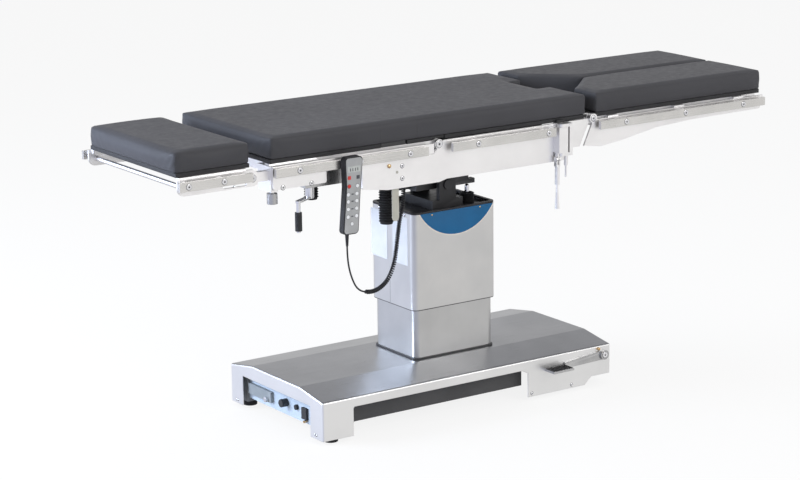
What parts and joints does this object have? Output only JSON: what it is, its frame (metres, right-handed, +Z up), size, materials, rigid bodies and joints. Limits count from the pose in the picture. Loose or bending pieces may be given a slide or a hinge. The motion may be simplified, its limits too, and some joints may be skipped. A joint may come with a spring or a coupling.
{
  "type": "operating table",
  "caption": "Mobile operating table: padded head, back, seat and split leg sections on a telescopic column that lifts, tilts and slides, with side rails, kidney bridge and corded hand control.",
  "frame": {"origin": "on the floor, under the middle of the column", "axes": "+X towards the leg end, -Y towards the side with the hand control, +Z up"},
  "size_m": [2.0974, 0.5868, 0.909],
  "materials": {
    "stainless_cover": "satin brushed sheet",
    "stainless_plate": "brushed plate",
    "stainless_rail": "brushed bar",
    "painted_frame": "satin black",
    "machined_steel": "machined",
    "chrome": "polished",
    "black_board": "matt",
    "pad_cover": "foam under a wipe-clean coated cover",
    "black_rubber": "matt",
    "black_plastic": "fine texture",
    "dark_trim": "satin",
    "blue_panel": "satin pale blue",
    "grey_plastic": "moulded",
    "handset_case": "moulded black",
    "handset_face": "printed grey film",
    "cord_sheath": "smooth"
  },
  "bodies": {
    "base": {"base_cover": "stainless_cover", "base_chassis": "painted_frame", "base_feet": "black_rubber", "base_trim": "dark_trim", "control_panel": "blue_panel", "panel_fittings": "grey_plastic", "column_lower_cover": "stainless_cover", "column_guide": "machined_steel"},
    "castor_carrier": {"castor_carrier": "painted_frame"},
    "castor_fork_near": {"castor_fork_near": "machined_steel"},
    "castor_fork_far": {"castor_fork_far": "machined_steel"},
    "castor_wheel_near": {"castor_wheel_near": "black_rubber"},
    "castor_wheel_far": {"castor_wheel_far": "black_rubber"},
    "roller_axle": {"roller_axle": "black_rubber"},
    "brake_pedal": {"brake_pedal": "machined_steel"},
    "column_middle": {"column_middle_cover": "stainless_cover"},
    "lift_carriage": {"column_upper_cover": "stainless_cover", "column_rim": "dark_trim", "lift_mast": "painted_frame", "tilt_gaiter": "black_rubber"},
    "tilt_rod": {"tilt_rod": "chrome"},
    "tilt_yoke": {"tilt_yoke": "painted_frame", "tilt_motor": "black_plastic"},
    "tilt_saddle": {"tilt_saddle": "painted_frame"},
    "table_frame": {"frame_side_plates": "stainless_plate", "frame_cross_members": "painted_frame", "seat_board": "black_board", "seat_rails": "stainless_rail", "seat_pad": "pad_cover"},
    "slide_lever": {"slide_lever": "grey_plastic"},
    "back_section": {"back_frame": "stainless_plate", "back_board": "black_board", "back_rails": "stainless_rail", "back_pad": "pad_cover", "hinge_pad": "pad_cover", "crank_gearbox": "machined_steel", "kidney_gaiters": "black_rubber", "handset_shell": "handset_case", "handset_face": "handset_face", "handset_lead": "cord_sheath", "curly_cord": "cord_sheath"},
    "kidney_bridge": {"kidney_bridge": "painted_frame", "kidney_pad": "pad_cover"},
    "crank": {"crank_handle": "chrome"},
    "crank_grip": {"crank_grip": "black_plastic"},
    "head_section": {"head_frame": "stainless_plate", "head_board": "black_board", "head_pad": "pad_cover"},
    "head_knob_near": {"head_knob_near": "machined_steel"},
    "head_knob_far": {"head_knob_far": "machined_steel"},
    "leg_bracket_near": {"leg_bracket_near": "stainless_plate"},
    "leg_near": {"leg_frame_near": "stainless_plate", "leg_board_near": "black_board", "leg_pad_near": "pad_cover"},
    "clamp_lever_near": {"clamp_lever_near": "stainless_plate"},
    "leg_bracket_far": {"leg_bracket_far": "stainless_plate"},
    "leg_far": {"leg_frame_far": "stainless_plate", "leg_board_far": "black_board", "leg_pad_far": "pad_cover"},
    "clamp_lever_far": {"clamp_lever_far": "stainless_plate"}
  },
  "joints": [
    {"name": "table_lift", "type": "slide", "parent": "base", "child": "lift_carriage", "axis": [0, 0, 1], "range_m": [-0.14, 0.16]},
    {"name": "column_middle_rise", "type": "slide", "parent": "base", "child": "column_middle", "axis": [0, 0, 1], "range_m": [-0.07, 0.08]},
    {"name": "trendelenburg", "type": "hinge", "parent": "lift_carriage", "child": "tilt_yoke", "pos_m": [0, 0, 0.6565], "axis": [0, -1, 0], "range_deg": [-25, 25]},
    {"name": "tilt_rod_push", "type": "slide", "parent": "lift_carriage", "child": "tilt_rod", "axis": [0, 0, 1], "range_m": [-0.045, 0.045], "deforming": ["tilt_gaiter"]},
    {"name": "lateral_tilt", "type": "hinge", "parent": "tilt_yoke", "child": "tilt_saddle", "pos_m": [0, 0, 0.7025], "axis": [1, 0, 0], "range_deg": [-18, 18]},
    {"name": "longitudinal_slide", "type": "slide", "parent": "tilt_saddle", "child": "table_frame", "axis": [1, 0, 0], "range_m": [-0.215, 0.085]},
    {"name": "slide_lever_swing", "type": "hinge", "parent": "table_frame", "child": "slide_lever", "pos_m": [-0.303, -0.25, 0.763], "axis": [0, 1, 0], "range_deg": [-20, 20]},
    {"name": "back_raise", "type": "hinge", "parent": "table_frame", "child": "back_section", "pos_m": [-0.156, 0, 0.826], "axis": [0, 1, 0], "range_deg": [-25, 75], "deforming": ["hinge_pad"]},
    {"name": "crank_turn", "type": "hinge", "parent": "back_section", "child": "crank", "pos_m": [-0.575, -0.222, 0.74], "axis": [0, 0, 1], "range_deg": [0, 3600]},
    {"name": "crank_grip_spin", "type": "hinge", "parent": "crank", "child": "crank_grip", "pos_m": [-0.635, -0.257, 0.667], "axis": [0, 0, 1], "continuous": true},
    {"name": "kidney_raise", "type": "slide", "parent": "back_section", "child": "kidney_bridge", "axis": [0, 0, 1], "range_m": [0, 0.1]},
    {"name": "head_raise", "type": "hinge", "parent": "back_section", "child": "head_section", "pos_m": [-0.7775, 0, 0.807], "axis": [0, 1, 0], "range_deg": [-90, 30]},
    {"name": "castor_swivel_near", "type": "hinge", "parent": "castor_carrier", "child": "castor_fork_near", "pos_m": [0.424, -0.203, 0.07], "axis": [0, 0, 1], "continuous": true},
    {"name": "castor_swivel_far", "type": "hinge", "parent": "castor_carrier", "child": "castor_fork_far", "pos_m": [0.424, 0.203, 0.07], "axis": [0, 0, 1], "continuous": true},
    {"name": "castor_spin_near", "type": "hinge", "parent": "castor_fork_near", "child": "castor_wheel_near", "pos_m": [0.409, -0.203, 0.029], "axis": [0, 1, 0], "continuous": true},
    {"name": "castor_spin_far", "type": "hinge", "parent": "castor_fork_far", "child": "castor_wheel_far", "pos_m": [0.409, 0.203, 0.029], "axis": [0, 1, 0], "continuous": true},
    {"name": "roller_spin", "type": "hinge", "parent": "castor_carrier", "child": "roller_axle", "pos_m": [-0.43, 0, 0.029], "axis": [0, 1, 0], "continuous": true},
    {"name": "pedal_press", "type": "hinge", "parent": "base", "child": "brake_pedal", "pos_m": [0.449, 0, 0.098], "axis": [0, -1, 0], "range_deg": [0, 18]},
    {"name": "castor_drop", "type": "slide", "parent": "base", "child": "castor_carrier", "axis": [0, 0, 1], "range_m": [-0.0101, 0]},
    {"name": "head_knob_turn_near", "type": "hinge", "parent": "back_section", "child": "head_knob_near", "pos_m": [-0.707, -0.238, 0.74], "axis": [0, 0, 1], "range_deg": [-180, 180]},
    {"name": "leg_spread_near", "type": "hinge", "parent": "table_frame", "child": "leg_bracket_near", "pos_m": [0.275, -0.268, 0.788], "axis": [0, 0, -1], "range_deg": [0, 90]},
    {"name": "leg_drop_near", "type": "hinge", "parent": "leg_bracket_near", "child": "leg_near", "pos_m": [0.402, -0.2, 0.836], "axis": [0, 1, 0], "range_deg": [-15, 90]},
    {"name": "clamp_release_near", "type": "hinge", "parent": "table_frame", "child": "clamp_lever_near", "pos_m": [0.2605, -0.268, 0.731], "axis": [1, 0, 0], "range_deg": [-60, 0]},
    {"name": "head_knob_turn_far", "type": "hinge", "parent": "back_section", "child": "head_knob_far", "pos_m": [-0.707, 0.238, 0.74], "axis": [0, 0, 1], "range_deg": [-180, 180]},
    {"name": "leg_spread_far", "type": "hinge", "parent": "table_frame", "child": "leg_bracket_far", "pos_m": [0.275, 0.268, 0.788], "axis": [0, 0, 1], "range_deg": [0, 90]},
    {"name": "leg_drop_far", "type": "hinge", "parent": "leg_bracket_far", "child": "leg_far", "pos_m": [0.402, 0.2, 0.836], "axis": [0, 1, 0], "range_deg": [-15, 90]},
    {"name": "clamp_release_far", "type": "hinge", "parent": "table_frame", "child": "clamp_lever_far", "pos_m": [0.2605, 0.268, 0.731], "axis": [-1, 0, 0], "range_deg": [-60, 0]}
  ],
  "couplings": [
    {"joint": "column_middle_rise", "follows": "table_lift", "ratio": 0.5},
    {"joint": "tilt_rod_push", "follows": "trendelenburg", "m_per_rad": 0.1022},
    {"joint": "kidney_raise", "follows": "crank_turn", "m_per_rad": 0.0015915},
    {"joint": "castor_drop", "follows": "pedal_press", "m_per_rad": -0.031831}
  ]
}
